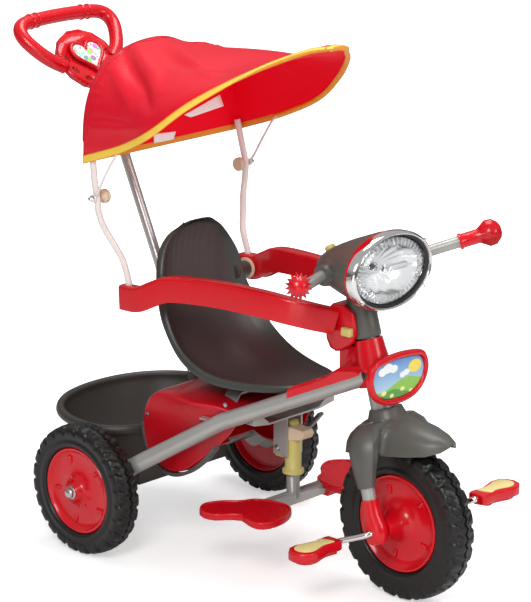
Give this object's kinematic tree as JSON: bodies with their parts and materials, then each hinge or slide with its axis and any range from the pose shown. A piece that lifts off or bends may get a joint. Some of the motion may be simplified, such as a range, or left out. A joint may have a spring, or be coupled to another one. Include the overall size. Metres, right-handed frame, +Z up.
{
  "type": "tricycle",
  "caption": "Child's tricycle with parent push handle, fabric sun canopy, guard ring, bucket seat, headlamp, footrest and rear basket.",
  "frame": {"origin": "on the ground, at the middle of the whole's length and width", "axes": "-Y is forwards, where the lamp looks; +X is the rider's left; +Z is up"},
  "size_m": [0.514, 0.9296, 0.8694],
  "materials": {
    "silver_paint": "silver enamel",
    "steel": "zinc plated",
    "chrome": "polished",
    "charcoal": "fine texture",
    "dark_grey": "satin",
    "basket_black": "satin",
    "red_matte": "satin",
    "red_gloss": "gloss",
    "pale_yellow": "semi-gloss",
    "cream": "semi-gloss",
    "picture": "printed card under film",
    "white_paint": "white enamel",
    "red_cloth": "coated woven nylon",
    "mirror": "metallised",
    "clear": "clear moulded plastic",
    "rubber_black": "foamed rubber"
  },
  "bodies": {
    "frame": {"frame_tube_right": "silver_paint", "frame_tube_left": "silver_paint", "head_tube": "silver_paint", "rear_axle": "steel", "axle_nut_right": "chrome", "axle_nut_left": "chrome", "seat_bracket": "silver_paint", "seat": "charcoal", "footrest_bolt": "steel", "rear_fairing": "red_matte", "basket": "basket_black", "footrest_bracket": "silver_paint", "footrest_sleeve": "pale_yellow", "footrest_cap": "cream", "column_cover": "red_gloss", "plaque_frame": "red_gloss", "plaque_panel": "picture", "guard_yoke": "red_gloss", "guard_arm_right": "red_gloss", "guard_arm_left": "red_gloss", "canopy_rod_right": "white_paint", "canopy_rod_left": "white_paint", "canopy_bolt_right": "chrome", "canopy_bolt_left": "chrome", "push_rod": "silver_paint", "push_rod_socket": "dark_grey", "push_handle": "red_gloss", "handle_panel": "cream"},
    "steering": {"fork": "silver_paint", "fender": "dark_grey", "fork_cover_right": "red_gloss", "fork_cover_left": "red_gloss", "neck_sleeve": "dark_grey", "lamp_housing": "dark_grey", "lamp_bezel": "chrome", "lamp_reflector": "mirror", "lamp_bulb": "clear", "lamp_lens": "clear", "handlebar": "silver_paint", "grip_right": "red_gloss", "grip_left": "red_gloss"},
    "lamp_switch": {"lamp_button": "pale_yellow"},
    "front_wheel": {"front_tyre": "rubber_black", "front_hub": "red_gloss", "crank_axle": "chrome"},
    "right_pedal": {"pedal_right": "red_gloss"},
    "left_pedal": {"pedal_left": "red_gloss"},
    "right_rear_wheel": {"rear_tyre_right": "rubber_black", "rear_hub_right": "red_gloss"},
    "left_rear_wheel": {"rear_tyre_left": "rubber_black", "rear_hub_left": "red_gloss"},
    "shade": {"canopy": "red_cloth", "canopy_wire": "white_paint"},
    "right_canopy_knob": {"canopy_knob_right": "cream"},
    "left_canopy_knob": {"canopy_knob_left": "cream"},
    "footrest": {"footrest_frame": "silver_paint", "footrest_right": "red_gloss", "footrest_left": "red_gloss"},
    "footrest_catch": {"footrest_knob": "pale_yellow"},
    "guard_latch": {"latch_button": "pale_yellow"}
  },
  "joints": [
    {"name": "steering_turn", "type": "hinge", "parent": "frame", "child": "steering", "pos_m": [0, -0.33793, 0.12664], "axis": [0, 0.2807, 0.9598], "range_deg": [-45, 45]},
    {"name": "front_wheel_spin", "type": "hinge", "parent": "steering", "child": "front_wheel", "pos_m": [0, -0.33793, 0.12664], "axis": [1, 0, 0], "continuous": true},
    {"name": "pedal_right_spin", "type": "hinge", "parent": "front_wheel", "child": "right_pedal", "pos_m": [-0.15, -0.27994, 0.10202], "axis": [1, 0, 0], "continuous": true},
    {"name": "pedal_left_spin", "type": "hinge", "parent": "front_wheel", "child": "left_pedal", "pos_m": [0.15, -0.39592, 0.15126], "axis": [1, 0, 0], "continuous": true},
    {"name": "rear_wheel_right_spin", "type": "hinge", "parent": "frame", "child": "right_rear_wheel", "pos_m": [-0.215, 0.17607, 0.10964], "axis": [1, 0, 0], "continuous": true},
    {"name": "rear_wheel_left_spin", "type": "hinge", "parent": "frame", "child": "left_rear_wheel", "pos_m": [0.215, 0.17607, 0.10964], "axis": [1, 0, 0], "continuous": true},
    {"name": "canopy_tilt", "type": "hinge", "parent": "frame", "child": "shade", "pos_m": [0, 0.18387, 0.59364], "axis": [-1, 0, 0], "range_deg": [0, 30]},
    {"name": "canopy_knob_right_turn", "type": "hinge", "parent": "frame", "child": "right_canopy_knob", "pos_m": [-0.1585, 0.18387, 0.59364], "axis": [1, 0, 0], "continuous": true},
    {"name": "canopy_knob_left_turn", "type": "hinge", "parent": "frame", "child": "left_canopy_knob", "pos_m": [0.1585, 0.18387, 0.59364], "axis": [1, 0, 0], "continuous": true},
    {"name": "footrest_height", "type": "slide", "parent": "frame", "child": "footrest", "axis": [0, 0, 1], "range_m": [0, 0.03]},
    {"name": "footrest_catch_pull", "type": "slide", "parent": "frame", "child": "footrest_catch", "axis": [0, 0, 1], "range_m": [0, 0.003], "stiffness_N_per_m": 300},
    {"name": "guard_latch_press", "type": "slide", "parent": "frame", "child": "guard_latch", "axis": [1, 0, 0], "range_m": [0, 0.003], "stiffness_N_per_m": 300},
    {"name": "lamp_switch_press", "type": "slide", "parent": "steering", "child": "lamp_switch", "axis": [0, -0.5769, -0.8168], "range_m": [0, 0.0025], "stiffness_N_per_m": 300}
  ]
}
